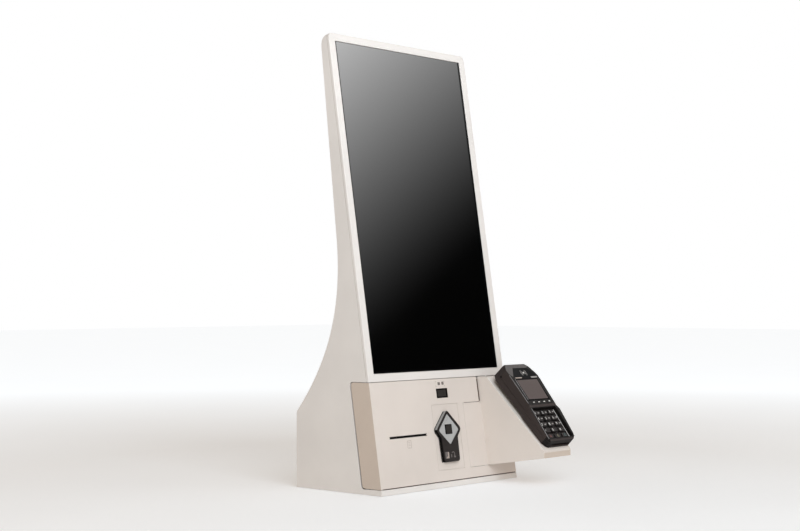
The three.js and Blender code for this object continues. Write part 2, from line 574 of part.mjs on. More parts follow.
function terminalCase() {
  const block = solidOf(prism('x', caseSide, -60, 60)).intersect(solidOf(prism('z', casePlan(0), -5, 60)));
  const inside = points([2.5, 2], [175.5, 2], [172, 29.5], [81, 24.6], [78, 14], [4, 10.5]);
  const hollow = solidOf(prism('x', inside, -60, 60)).intersect(solidOf(prism('z', casePlan(2.4), -5, 60)));
  const above = solidOf(box(-60, 60, -20, 200, terminal.split + touch, 60));
  const below = solidOf(box(-60, 60, -20, 200, -20, terminal.split));
  const cardSlot = solidOf(box(-28.5, 28.5, -10, 6, 3.5, 9.5));
  const { halfWidth, low, high, recess } = keypad;
  const pocket = solidOf(onto(deck, prism('z', rectangle(-halfWidth, low, halfWidth, high, 4), -recess - touch, 20)));
  add(pos, 'terminal_base', cut(block.intersect(below), hollow, cardSlot, pocket), 'case');

  let shell = cut(block.intersect(above), hollow, pocket,
    solidOf(onto(head, box(-lens.width / 2, lens.width / 2, lens.low, lens.high, -1.6, 5))));
  for (let i = 0; i < 4; i += 1) {
    const x = (i - 1.5) * softKeys.pitch;
    shell = cut(shell, solidOf(onto(head, box(x - softKeys.width / 2 - 0.4, x + softKeys.width / 2 + 0.4,
      softKeys.y - 2.4, softKeys.y + 2.4, -2.05, 5))));
  }
  add(pos, 'terminal_cover', shell, 'case');
  add(pos, 'terminal_lens', onto(head, prism('z',
    rectangle(-lens.width / 2 + touch, lens.low + touch, lens.width / 2 - touch, lens.high - touch), -1.2, -0.2)), 'glass');
  const edge = halfWidth - touch;
  const rim = prism('z', rectangle(-edge, low + touch, edge, high - touch, 3.6), -recess, -recess + 3);
  const pan = prism('z', rectangle(1.2 - edge, low + 1.6, edge - 1.2, high - 1.6, 2.6), -recess + 1.2, 5);
  add(pos, 'keypad_tray', cut(solidOf(onto(deck, rim)), solidOf(onto(deck, pan))), 'black');
}

function keyCap(width, height, tall) {
  const body = new THREE.ExtrudeGeometry(rectangle(-width / 2, -height / 2, width / 2, height / 2, 1.6), {
    depth: tall - 0.8, bevelEnabled: true, bevelThickness: 0.8, bevelSize: 0.8, bevelOffset: -0.8,
    bevelSegments: 1, curveSegments: 2,
  });
  return cut(solidOf(body), solidOf(box(-width, width, -height, height, -5, 0)));
}

const keyNames = [
  ['key_1', 'key_2', 'key_3'], ['key_4', 'key_5', 'key_6'], ['key_7', 'key_8', 'key_9'],
  ['key_star', 'key_0', 'key_hash'], ['key_cancel', 'key_clear', 'key_enter'],
];

function keys() {
  const top = -keypad.recess + 1.2 + touch + keyTravel;
  keyNames.forEach((row, r) => row.forEach((name, c) => {
    const group = new THREE.Group();
    group.position.set(0, deck.y, deck.z);
    group.rotation.x = deck.tilt;
    pos.add(group);
    const key = new THREE.Group();
    key.position.set((c - 1) * keypad.pitchX, keypad.topRow - r * keypad.pitchY, top);
    group.add(key);
    add(key, name, keyCap(17.6, 9, 3), 'key');
  }));
  for (let i = 0; i < 4; i += 1) {
    const group = new THREE.Group();
    group.position.set(0, head.y, head.z);
    group.rotation.x = head.tilt;
    pos.add(group);
    const key = new THREE.Group();
    key.position.set((i - 1.5) * softKeys.pitch, softKeys.y, -1.0);
    group.add(key);
    add(key, `soft_key_${i + 1}`, keyCap(softKeys.width, softKeys.height, 1.8), 'key');
  }
}

function terminalMount() {
  const under = (along) => (terminal.along - along) * Math.tan(terminal.tilt);
  const outline = points([-150, touch], [-20, touch], [-20, under(20)], [-130, under(130)], [-150, under(150)]);
  return prism('x', outline, terminal.x - 25, terminal.x + 25);
}

terminalCase();
keys();
add(slope, 'terminal_mount', terminalMount(), 'black');

// The origin is on the surface that the kiosk stands on, under the centre of its bounding box.
const bounds = new THREE.Box3().setFromObject(kiosk, true);
const centre = bounds.getCenter(new THREE.Vector3());
kiosk.position.set(-centre.x, -centre.y, -bounds.min.z);

export default kiosk;
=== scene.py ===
"""Looks for the countertop self-service kiosk: refined shells, marks, materials, light and camera."""
import json
import math

import bmesh
import bpy
from mathutils import Matrix, Vector


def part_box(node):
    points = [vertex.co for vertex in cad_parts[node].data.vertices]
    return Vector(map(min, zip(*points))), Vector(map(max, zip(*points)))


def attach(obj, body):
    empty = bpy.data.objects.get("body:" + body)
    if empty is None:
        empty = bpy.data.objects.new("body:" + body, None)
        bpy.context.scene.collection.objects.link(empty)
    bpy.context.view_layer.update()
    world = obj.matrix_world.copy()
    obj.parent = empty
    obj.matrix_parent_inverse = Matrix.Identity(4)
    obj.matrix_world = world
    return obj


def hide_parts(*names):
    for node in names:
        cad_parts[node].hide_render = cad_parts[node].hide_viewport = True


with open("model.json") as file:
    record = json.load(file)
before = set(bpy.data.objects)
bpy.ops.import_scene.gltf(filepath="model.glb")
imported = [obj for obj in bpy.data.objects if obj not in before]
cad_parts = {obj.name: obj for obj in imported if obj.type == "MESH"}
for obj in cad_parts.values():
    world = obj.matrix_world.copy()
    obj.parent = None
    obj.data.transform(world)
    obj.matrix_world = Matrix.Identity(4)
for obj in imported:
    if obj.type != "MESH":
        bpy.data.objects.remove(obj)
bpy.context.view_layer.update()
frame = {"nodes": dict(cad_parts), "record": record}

# ---------------------------------------------------------------- frame of the design, in millimetres
MM = 0.001
LEAN = math.radians(9.0)
HALF = 189.4
WALL = 2.5
WALL_GAP = 0.35
WALL_TOP = 826.0
WALL_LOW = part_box("left_wall")[0]
BASE_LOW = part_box("base_plate")[0]
SHIFT = Vector((WALL_LOW.x + HALF * MM, BASE_LOW.y, BASE_LOW.z))

SLOPE = math.radians(44.2)
TERMINAL_TILT = math.radians(2.9)
DECK_TILT = math.atan2(6.3, 71.5)
HEAD_TILT = math.atan2(5.2, 93.5)
TERMINAL_X = 155.7
POCKET_HALF = 36.5
POCKET_DEPTH = 11
KEY_PITCH = (22.2, 13)
TOP_ROW = 61.6
KEY_TOP = 1.2 + 0.35 + 1.5 + 3 - POCKET_DEPTH  # tray floor, clearance, travel and cap
SHARP = math.radians(24)
CREASE = math.radians(35)


def placed(x, y, z):
    return Matrix.Translation(Vector((x, y, z)) * MM)


def turned(angle, axis):
    return Matrix.Rotation(angle, 4, axis)


UPRIGHT = Matrix.Translation(SHIFT)
FACE = UPRIGHT @ turned(-LEAN, "X")
SLOPE_FRAME = UPRIGHT @ placed(0, 7.67, 195.95) @ turned(SLOPE, "X")
TERMINAL = SLOPE_FRAME @ placed(TERMINAL_X, -182.0, 0.35) @ turned(TERMINAL_TILT, "X")
DECK = TERMINAL @ placed(0, 5, 19) @ turned(DECK_TILT, "X")
HEAD = TERMINAL @ placed(0, 80.5, 27) @ turned(HEAD_TILT, "X")


def on_front(depth):
    """A drawing plane on the leaning front: X to the right, Y up the front, Z out of it."""
    return FACE @ placed(0, depth, 0) @ turned(math.pi / 2, "X")


def on_rear(y):
    """A drawing plane on the upright back, seen from behind: X to the left of the kiosk's front."""
    return UPRIGHT @ placed(0, y, 0) @ turned(math.pi, "Z") @ turned(math.pi / 2, "X")


BODY_OF = {node: body for body, nodes in frame["record"]["behaviour"]["bodies"].items() for node in nodes}
SLOT_OF = {part["node"]: part["material_slot"] for part in frame["record"]["subparts"]}


# ---------------------------------------------------------------- camera
def make_camera():
    """The viewpoint: to the left of the kiosk and in front, a little below the middle of its height."""
    yaw, pitch, roll = (math.radians(v) for v in (47.45, 1.372, -0.146))
    forward = Vector((math.sin(yaw) * math.cos(pitch), math.cos(yaw) * math.cos(pitch), math.sin(pitch)))
    level = Vector((math.cos(yaw), -math.sin(yaw), 0))
    above = level.cross(forward)
    right = level * math.cos(roll) + above * math.sin(roll)
    up = above * math.cos(roll) - level * math.sin(roll)
    data = bpy.data.cameras.new("camera")
    data.sensor_width = 36
    data.lens = 67.44
    data.clip_end = 60
    camera = bpy.data.objects.new("camera", data)
    place = SHIFT + Vector((-2091.93, -1790.48, 339.16)) * MM
    camera.matrix_world = Matrix((
        (right.x, up.x, -forward.x, place.x), (right.y, up.y, -forward.y, place.y),
        (right.z, up.z, -forward.z, place.z), (0, 0, 0, 1)))
    bpy.context.collection.objects.link(camera)
    bpy.context.scene.camera = camera


make_camera()


# ---------------------------------------------------------------- materials
def srgb(red, green, blue):
    """A colour given in 0 to 255 steps, as the linear values that a shader takes."""
    def linear(v):
        v /= 255
        return v / 12.92 if v <= 0.04045 else ((v + 0.055) / 1.055) ** 2.4
    return (linear(red), linear(green), linear(blue), 1)


def shade(colour, factor):
    return (colour[0] * factor, colour[1] * factor, colour[2] * factor, 1)


class Surface:
    """A principled material with noise-driven colour, roughness and relief, in object space."""

    def __init__(self, name, roughness=0.5, metallic=0.0, ior=1.5, specular=0.5):
        self.material = bpy.data.materials.new(name)
        self.material.use_nodes = True
        self.tree = self.material.node_tree
        self.shader = self.tree.nodes["Principled BSDF"]
        self.shader.inputs["Roughness"].default_value = roughness
        self.shader.inputs["Metallic"].default_value = metallic
        self.shader.inputs["IOR"].default_value = ior
        self.shader.inputs["Specular IOR Level"].default_value = specular
        self.coordinates = self.tree.nodes.new("ShaderNodeTexCoord").outputs["Object"]

    def node(self, kind, **values):
        made = self.tree.nodes.new(kind)
        for key, value in values.items():
            setattr(made, key, value)
        return made

    def noise(self, scale, detail=2.0, stretch=None):
        made = self.node("ShaderNodeTexNoise")
        made.inputs["Scale"].default_value = scale
        made.inputs["Detail"].default_value = detail
        source = self.coordinates
        if stretch:
            mapping = self.node("ShaderNodeMapping")
            mapping.inputs["Scale"].default_value = stretch
            self.tree.links.new(source, mapping.inputs["Vector"])
            source = mapping.outputs["Vector"]
        self.tree.links.new(source, made.inputs["Vector"])
        return made.outputs["Fac"]

    def ramp(self, source, low, high, start=0.35, end=0.65):
        made = self.node("ShaderNodeValToRGB")
        first, last = made.color_ramp.elements
        first.position, first.color = start, low
        last.position, last.color = end, high
        self.tree.links.new(source, made.inputs["Fac"])
        return made.outputs["Color"]

    def spread(self, source, low, high):
        made = self.node("ShaderNodeMapRange")
        made.inputs["From Min"].default_value = 0.3
        made.inputs["From Max"].default_value = 0.7
        made.inputs["To Min"].default_value = low
        made.inputs["To Max"].default_value = high
        self.tree.links.new(source, made.inputs["Value"])
        return made.outputs["Result"]

    def colour(self, source):
        self.tree.links.new(source, self.shader.inputs["Base Color"])

    def roughness(self, source, low, high):
        self.tree.links.new(self.spread(source, low, high), self.shader.inputs["Roughness"])

    def relief(self, source, depth_mm, strength=1.0):
        bump = self.node("ShaderNodeBump")
        bump.inputs["Distance"].default_value = depth_mm * MM
        bump.inputs["Strength"].default_value = strength
        self.tree.links.new(source, bump.inputs["Height"])
        self.tree.links.new(bump.outputs["Normal"], self.shader.inputs["Normal"])


def coated(name, colour, roughness, grain=700, depth=0.012, mottle=0.03, specular=0.4):
    """Paint or moulded plastic: a fine grain, a faint mottle and an uneven sheen."""
    made = Surface(name, roughness, specular=specular)
    made.colour(made.ramp(made.noise(9, 4), shade(colour, 1 - mottle), shade(colour, 1 + mottle)))
    made.roughness(made.noise(40, 3), roughness - 0.05, roughness + 0.05)
    made.relief(made.noise(grain, 2), depth)
    return made.material


def brushed(name, colour, roughness):
    """Bare metal with a drawn grain."""
    made = Surface(name, roughness, metallic=1.0)
    grain = made.noise(60, 3, stretch=(1, 30, 30))
    made.colour(made.ramp(grain, shade(colour, 0.9), shade(colour, 1.05)))
    made.roughness(grain, roughness - 0.07, roughness + 0.1)
    made.relief(grain, 0.01, 0.5)
    return made.material


def glossy(name, colour, roughness, ior=1.5, smudge=0.02, specular=0.5):
    """Glass or polished plastic over black, with faint smudges in its polish."""
    made = Surface(name, roughness, ior=ior, specular=specular)
    made.colour(made.ramp(made.noise(5, 2), shade(colour, 0.9), shade(colour, 1.1)))
    made.roughness(made.noise(14, 4), roughness, roughness + smudge)
    return made.material


def board_material():
    made = Surface("circuit_board", 0.45)
    tracks = made.node("ShaderNodeTexVoronoi", feature="DISTANCE_TO_EDGE")
    tracks.inputs["Scale"].default_value = 160
    made.tree.links.new(made.coordinates, tracks.inputs["Vector"])
    made.colour(made.ramp(tracks.outputs["Distance"], srgb(34, 110, 66), srgb(12, 62, 36), 0.02, 0.08))
    made.relief(tracks.outputs["Distance"], 0.05)
    return made.material


def paper_material():
    made = Surface("paper", 0.85, specular=0.2)
    layers = made.noise(30, 2, stretch=(0.2, 30, 30))
    made.colour(made.ramp(layers, srgb(232, 230, 224), srgb(248, 247, 243)))
    made.relief(layers, 0.03)
    return made.material


SHELL = coated("shell_white", (0.762, 0.724, 0.69, 1), 0.5, specular=0.25)
BEIGE = coated("door_beige", (0.70, 0.63, 0.577, 1), 0.48, specular=0.3)
# A lighter copy of the beige: painted light on the bracket's left face and its slope.
BEIGE_PAINTED_LIGHT = coated("door_beige_painted_light", (0.77, 0.705, 0.65, 1), 0.48, specular=0.3)
# A darker, browner copy of the beige: painted shade on the door's folded sides and the bracket's lip.
BEIGE_PAINTED_SHADE = coated("door_beige_painted_shade", (0.59, 0.498, 0.422, 1), 0.5)
LOOKS = {
    "shell_white": SHELL,
    "door_beige": BEIGE,
    "black_plastic": coated("black_plastic", srgb(30, 25, 24), 0.42, 900, 0.02, 0.03, 0.25),
    "terminal_case": coated("terminal_case", srgb(56, 48, 46), 0.45, 1100, 0.02, 0.06, 0.22),
    "black_glass": glossy("black_glass", srgb(14, 14, 15), 0.06),
    "key_plastic": coated("key_plastic", srgb(38, 34, 33), 0.5, 1300, 0.02, 0.03, 0.2),
    "reader_grey": coated("reader_grey", srgb(176, 176, 175), 0.3, 1500, 0.008),
    "panel": coated("panel", srgb(40, 40, 42), 0.5),
    "steel": brushed("steel", srgb(190, 192, 194), 0.34),
    "alloy": brushed("alloy", srgb(205, 206, 208), 0.3),
    "circuit_board": board_material(),
    "rubber": coated("rubber", srgb(34, 33, 33), 0.8, 500, 0.03, 0.08, 0.25),
    "paper": paper_material(),
}
INK_GREY = coated("ink_grey", srgb(112, 104, 98), 0.6)
INK_FAINT = coated("ink_faint", srgb(176, 164, 155), 0.6)
INK_DIM = coated("ink_dim", srgb(98, 92, 90), 0.5)
MARK_WHITE = coated("mark_white", srgb(226, 224, 220), 0.45)
MARK_GREY = coated("mark_grey", srgb(150, 146, 143), 0.45)
MARK_WARM = coated("mark_warm", srgb(176, 162, 151), 0.4)
MARK_RED = coated("mark_red", srgb(104, 60, 57), 0.45)
MARK_AMBER = coated("mark_amber", srgb(124, 116, 92), 0.45)
MARK_GREEN = coated("mark_green", srgb(66, 88, 88), 0.45)
# A light copy of the shell colour: painted highlight along the bracket's fold.
FOLD_HIGHLIGHT = coated("fold_painted_highlight", (0.86, 0.83, 0.8, 1), 0.45, specular=0.3)
# Light grey painted highlights on the terminal's left edges and the lens border.
EDGE_HIGHLIGHT_GREY = coated("painted_highlight_grey", srgb(160, 157, 158), 0.3)
DISPLAY = glossy("display", srgb(88, 78, 76), 0.3, smudge=0.05, specular=0.15)
SCREEN = glossy("screen", srgb(4, 4, 4), 0.07, ior=1.9, smudge=0.01)
GLASS_EDGE = glossy("glass_edge", srgb(8, 8, 9), 0.12, smudge=0.02, specular=0.12)
# Near black painted shade: the reader's walls, behind and along the receipt slot, round the reader's foot,
# the terminal's side hole and the screws' recesses.
PAINTED_SHADE_BLACK = coated("painted_shade_black", srgb(14, 12, 12), 0.8, specular=0.1)
# Dark brown painted shade for the door's seams and the gap beside the bracket.
SEAM_SHADE = coated("painted_seam_shade", srgb(66, 46, 38), 0.8, specular=0.1)
# Light grey painted highlight on the reader's chamfer at the upper left.
CHAMFER_HIGHLIGHT = coated("chamfer_painted_highlight", srgb(148, 148, 147), 0.35)
# A darker copy of the terminal's case: painted shade on its top, its lower end, its right edges and the
# right wall of the key pocket.
CASE_SHADE = coated("terminal_case_painted_shade", srgb(23, 20, 19), 0.5, 1100, 0.02, 0.05, 0.15)
# A lighter copy of the terminal's case: painted light on the upper end of its head.
CASE_PAINTED_LIGHT = coated("terminal_case_painted_light", srgb(84, 80, 79), 0.4, 1100, 0.02, 0.05, 0.25)
DEEP = glossy("deep_window", srgb(46, 43, 41), 0.35, smudge=0.1, specular=0.1)


# ---------------------------------------------------------------- mesh helpers
def new_piece(name, mesh, body, slot, material=None):
    """A visible piece that rides on a body. A mesh that has no material yet gets one."""
    piece = bpy.data.objects.new(name, mesh)
    bpy.context.collection.objects.link(piece)
    if not mesh.materials:
        mesh.materials.append(material or LOOKS[slot])
    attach(piece, body)
    return piece


def soften(piece, width):
    """Rounds the sharp edges by a width in millimetres and shades the faces evenly."""
    for polygon in piece.data.polygons:
        polygon.use_smooth = True
    bevel = piece.modifiers.new("rounding", "BEVEL")
    bevel.width = width * MM
    bevel.segments = 2
    bevel.limit_method = "ANGLE"
    bevel.angle_limit = SHARP
    bevel.harden_normals = True
    bevel.miter_outer = "MITER_ARC"
    normals = piece.modifiers.new("normals", "WEIGHTED_NORMAL")
    normals.keep_sharp = True


def even_shading(piece, width, segments):
    """Rounds the sharp edges, then shades every corner after the widest plane that meets there."""
    bevel = piece.modifiers.new("rounding", "BEVEL")
    bevel.width = width * MM
    bevel.segments = segments
    bevel.angle_limit = SHARP
    depsgraph = bpy.context.evaluated_depsgraph_get()
    mesh = bpy.data.meshes.new_from_object(piece.evaluated_get(depsgraph))
    piece.modifiers.clear()
    piece.data = mesh
    work = bmesh.new()
    work.from_mesh(mesh)
    bmesh.ops.triangulate(work, faces=work.faces)
    work.to_mesh(mesh)
    work.free()
    mesh.set_sharp_from_angle(angle=CREASE)
    planes = []
    spread = {}  # each plane's whole area, by its rounded normal and distance
    around = [[] for vertex in mesh.vertices]
    for polygon in mesh.polygons:
        polygon.use_smooth = True
        normal = polygon.normal
        plane = (*(round(part * 200) for part in normal), round(normal.dot(polygon.center) * 4000))
        planes.append(plane)
        spread[plane] = spread.get(plane, 1e-12) + polygon.area
        for vertex in polygon.vertices:
            around[vertex].append(polygon)
    normals = []
    limit = math.cos(CREASE)
    for polygon in mesh.polygons:
        for vertex in polygon.vertices:
            near = {planes[other.index]: other.normal for other in around[vertex]
                    if other.normal.dot(polygon.normal) > limit}
            total = sum((normal * spread[plane] for plane, normal in near.items()), Vector())
            normals.append(total.normalized())
    mesh.normals_split_custom_set(normals)


def tidy(work):
    """Merges the triangles of a faceted solid into its real faces."""
    bmesh.ops.remove_doubles(work, verts=work.verts, dist=0.002 * MM)
    bmesh.ops.dissolve_limit(work, angle_limit=math.radians(0.05), verts=work.verts, edges=work.edges)
    bmesh.ops.recalc_face_normals(work, faces=work.faces)


def refined(node, width, material=None):
    """The CAD solid as a piece with clean faces and rounded edges."""
    mesh = bpy.data.meshes.new(f"{node}_fine")
    work = bmesh.new()
    work.from_mesh(frame["nodes"][node].data)
    tidy(work)
    work.to_mesh(mesh)
    work.free()
    piece = new_piece(f"{node}_fine", mesh, BODY_OF[node], SLOT_OF[node], material)
    soften(piece, width)
    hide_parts(node)
    return piece


def oblong(x0, y0, x1, y1, radius=0.0, steps=5):
    """A rectangle with round corners, as a list of points."""
    if radius == 0:
        return [(x0, y0), (x1, y0), (x1, y1), (x0, y1)]
    outline = []
    for cx, cy, start in ((x1 - radius, y0 + radius, -90), (x1 - radius, y1 - radius, 0),
                          (x0 + radius, y1 - radius, 90), (x0 + radius, y0 + radius, 180)):
        for i in range(steps + 1):
            turn = math.radians(start + 90 * i / steps)
            outline.append((cx + radius * math.cos(turn), cy + radius * math.sin(turn)))
    return outline


def rounded(corners, radii, steps=5):
    """A closed outline whose corners are rounded, each by its own reach."""
    outline = []
    for i, radius in enumerate(radii):
        corner = Vector(corners[i])
        before, after = Vector(corners[i - 1]) - corner, Vector(corners[(i + 1) % len(corners)]) - corner
        reach = radius / math.tan(before.angle(after) / 2)
        start, end = corner + before.normalized() * reach, corner + after.normalized() * reach
        for t in (k / steps for k in range(steps + 1)):
            outline.append(start * (1 - t) ** 2 + corner * (2 * t * (1 - t)) + end * t ** 2)
    return outline


def band(cx, cy, radius, width, start, end, steps=12):
    """A stretch of a flat ring, from one angle to another in degrees."""
    turns = [math.radians(start + (end - start) * i / steps) for i in range(steps + 1)]
    sides = [[(cx + reach * math.cos(turn), cy + reach * math.sin(turn)) for turn in turns]
             for reach in (radius + width / 2, radius - width / 2)]
    return sides[0] + sides[1][::-1]


def stroke(ax, ay, bx, by, width):
    """A straight bar from one point to another."""
    along = Vector((bx - ax, by - ay)).normalized() * (width / 2)
    return [(ax + along.y, ay - along.x), (bx + along.y, by - along.x),
            (bx - along.y, by + along.x), (ax - along.y, ay + along.x)]


def marks(name, outlines, place, body, slot, material, thickness=0.05):
    """Flat marks on one drawing plane, as one thin piece: print, and also painted shade and painted
    highlights.
    """
    work = bmesh.new()
    lift = Vector((0, 0, thickness))
    for outline in outlines:
        low = [work.verts.new(place @ (Vector((x, y, 0)) * MM)) for x, y in outline]
        high = [work.verts.new(place @ ((Vector((x, y, 0)) + lift) * MM)) for x, y in outline]
        work.faces.new(low)
        work.faces.new(high)
        for i in range(len(low)):
            j = (i + 1) % len(low)
            work.faces.new((low[i], low[j], high[j], high[i]))
    bmesh.ops.recalc_face_normals(work, faces=work.faces)
    mesh = bpy.data.meshes.new(name)
    work.to_mesh(mesh)
    work.free()
    return new_piece(name, mesh, body, slot, material)


def plate(name, outline, thickness, place, body, slot, material):
    """A single outline with a thickness of its own."""
    return marks(name, [outline], place, body, slot, material, thickness)


def numeral(name, text, size, place, body, slot, material, thickness=0.05):
    """A generic figure from the built-in typeface, as a thin solid."""
    curve = bpy.data.curves.new(name, "FONT")
    curve.body = text
    curve.size = size * MM
    curve.align_x = "CENTER"
    curve.align_y = "CENTER"
    curve.extrude = thickness / 2 * MM
    curve.resolution_u = 3
    carrier = bpy.data.objects.new(name, curve)
    mesh = bpy.data.meshes.new_from_object(carrier)
    bpy.data.objects.remove(carrier)
    mesh.materials.clear()
    mesh.transform(place @ placed(0, 0, thickness / 2))
    return new_piece(name, mesh, body, slot, material)


# ---------------------------------------------------------------- every CAD piece, refined
HOUSING = ("rear_housing", "left_wall", "right_wall")
EDGE = {
    "front_bezel": 1.0, "base_plate": 0.5, "rear_cover": 0.5, "service_door": 0.6,
    "terminal_bracket": 0.9, "reader_plate": 0.25, "reader_bezel": 1.1, "reader_window": 0.3,
    "reader_eye": 0.15, "scan_window": 0.3, "touch_glass": 0.4, "terminal_base": 1.4,
    "terminal_cover": 1.2, "terminal_lens": 0.25, "keypad_tray": 0.2, "paper_roll": 0.6,
}


def housing():
    """The walls and the rear as one moulding: the rear grows over the gaps and is joined to the walls."""
    to_face = Matrix.Scale(1 / MM, 4) @ FACE.inverted()
    inner = HALF - WALL
    grow, near = 0.5, 0.02
    parts = []
    for node in HOUSING:
        work = bmesh.new()
        work.from_mesh(frame["nodes"][node].data)
        tidy(work)
        for vertex in work.verts:
            place = to_face @ vertex.co
            low = node == "rear_housing" and place.z < WALL_TOP + WALL_GAP + 0.05
            if low and abs(place.z - WALL_TOP - WALL_GAP) < near and abs(place.x) > inner - WALL_GAP - 0.1:
                place.z = WALL_TOP - grow
            if low and abs(abs(place.x) - inner + WALL_GAP) < near:
                place.x = math.copysign(inner + grow, place.x)
            vertex.co = Vector([round(number, 3) for number in place])
        bmesh.ops.triangulate(work, faces=work.faces)
        bmesh.ops.recalc_face_normals(work, faces=work.faces)
        mesh = bpy.data.meshes.new(node)
        work.to_mesh(mesh)
        work.free()
        part = bpy.data.objects.new(node, mesh)
        bpy.context.collection.objects.link(part)
        parts.append(part)
    whole, *walls = parts
    for wall in walls:
        union = whole.modifiers.new(wall.name, "BOOLEAN")
        union.operation = "UNION"
        union.solver = "EXACT"
        union.object = wall
    depsgraph = bpy.context.evaluated_depsgraph_get()
    joined = bpy.data.meshes.new_from_object(whole.evaluated_get(depsgraph))
    for part in parts:
        bpy.data.objects.remove(part)
    work = bmesh.new()
    work.from_mesh(joined)
    bmesh.ops.transform(work, matrix=FACE @ Matrix.Scale(MM, 4), verts=work.verts)
    tidy(work)
    work.to_mesh(joined)
    work.free()
    joined.materials.clear()
    piece = new_piece("housing_fine", joined, "cabinet", "shell_white")
    even_shading(piece, 1.1, 3)
    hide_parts(*HOUSING)


def refine_all():
    """Every other CAD solid with rounded edges and its coats of paint."""
    for node in frame["nodes"]:
        if node in HOUSING:
            continue
        width = EDGE.get(node, 0.5 if node.startswith("key") else 0.4)
        material = GLASS_EDGE if node in ("touch_glass", "terminal_lens") else None
        piece = refined(node, width, material=material)
        for coat, chosen in PAINTED.get(node, ()):
            paint(piece, coat, chosen)


def paint(piece, material, chosen):
    """Gives the faces that look a certain way their own coat."""
    piece.data.materials.append(material)
    for polygon in piece.data.polygons:
        if chosen(polygon):
            polygon.material_index = len(piece.data.materials) - 1


# Coats by which way a face looks, all painted light or shade: the door's folded sides and the bracket's
# lip take a darker, browner copy of the beige as painted shade, and the bracket's left face and slope a
# lighter copy as painted light. The reader's walls are painted black as shade but for a painted highlight
# on the chamfer at the upper left. The terminal's right-facing sides are painted black as shade, and it is
# painted darkest, as shade, on its top, at its lower end and down the right wall of the key pocket.
POCKET_RIGHT = SHIFT.x + (TERMINAL_X + POCKET_HALF - 3.5) * MM
PAINTED = {
    "service_door": [(BEIGE_PAINTED_SHADE, lambda face: abs(face.normal.x) > 0.9)],
    "terminal_bracket": [
        (BEIGE_PAINTED_LIGHT, lambda face: face.normal.x < -0.9 or face.normal.y < -0.5 and face.normal.z > 0.5),
        (BEIGE_PAINTED_SHADE, lambda face: face.normal.y < -0.9 and abs(face.normal.z) < 0.05)],
    "reader_bezel": [
        (PAINTED_SHADE_BLACK, lambda face: face.normal.y > -0.5),
        (CHAMFER_HIGHLIGHT, lambda face: face.normal.x < -0.3 and face.normal.z > 0.3)],
    "terminal_cover": [
        # Its right-facing sides in the black plastic: painted shade.
        (LOOKS["black_plastic"], lambda face: face.normal.x > 0.5),
        (CASE_SHADE, lambda face: face.normal.y < -0.3 and (face.normal.z > 0.4 or face.normal.z < -0.2)),
        (CASE_SHADE, lambda face: face.normal.x < -0.5 and face.center.x > POCKET_RIGHT)],
    "terminal_base": [
        (CASE_SHADE, lambda face: face.normal.y < -0.3 and -0.9 < face.normal.z < -0.2),
        (CASE_SHADE, lambda face: face.normal.x < -0.5 and face.center.x > POCKET_RIGHT)],
}
housing()
refine_all()


# ---------------------------------------------------------------- the screen, the printed marks and the painted shade
def screen_sheet():
    """The picture area, just proud of the glass that borders it on the right and below."""
    picture = oblong(-171.6, 218.2, 167.4, 821.7)
    plate("screen_active", picture, 0.06, on_front(0.6), "cabinet", "black_glass", SCREEN)


def front_marks():
    """Small generic pictograms by the scanner and the receipt slot, and on the reader."""
    front = on_front(0)
    ticks = []
    for x, inward in ((-13.5, 1), (11.5, -1)):
        for y, up in ((184.6, 1), (194, -1)):
            ticks += [stroke(x, y, x + inward * 2.6, y, 0.6), stroke(x, y, x, y + up * 2.2, 0.6)]
    marks("scan_corners", ticks, front, "door", "door_beige", INK_FAINT)
    glyphs = [oblong(-7.6, 187, -1, 192.4, 0.8), oblong(3.2, 187.2, 9.4, 193, 0.8)]
    marks("scan_glyphs", glyphs, front, "door", "door_beige", INK_GREY)
    slip = [stroke(-108, 79, -108, 91, 0.8), stroke(-98, 79, -98, 91, 0.8),
            stroke(-108.4, 91, -97.6, 91, 0.8)]
    slip += [stroke(-105.6, y, -100.4, y, 0.7) for y in (82.4, 85.2, 88)]
    slip += [stroke(-108 + 2.5 * i, 79 + (i % 2) * -1.4, -105.5 + 2.5 * i, 79 + ((i + 1) % 2) * -1.4, 0.7)
             for i in range(4)]
    marks("receipt_glyph", slip, front, "door", "door_beige", INK_FAINT)
    reader = on_front(-6.3)
    frame_patch = oblong(-16.8, 51.4, -6, 63.8, 1.2)
    marks("reader_patch_frame", [frame_patch], reader, "door", "black_plastic", INK_DIM)
    light = [(-14.6, 52.2), (-6.6, 52.2), (-6.6, 63), (-9.6, 63), (-9.6, 56.8)]
    marks("reader_patch_light", [light], reader, "door", "black_plastic", MARK_WARM, 0.1)
    shape = [band(5.4, 59, 3.8, 1.6, -60, 150), oblong(6.6, 52.4, 11.8, 55.4, 0.6),
             oblong(-1.2, 53, 1.4, 58.6, 0.6)]
    marks("reader_patch_dark", shape, reader, "door", "black_plastic", INK_DIM)


def reader_outline(grow):
    """The reader's left side, from its top to its foot, drawn wider by some millimetres."""
    corners = [(1.2, 140.2 + 1.4 * grow), (-33.6 - 1.2 * grow, 104.5), (-21.7 - grow, 90.5 - 0.4 * grow),
               (-20.3 - grow, 45.2 - grow), (22.7 + grow, 45.2 - grow)]
    return rounded(corners, [5, 8, 5, 6, 6])[3:22]


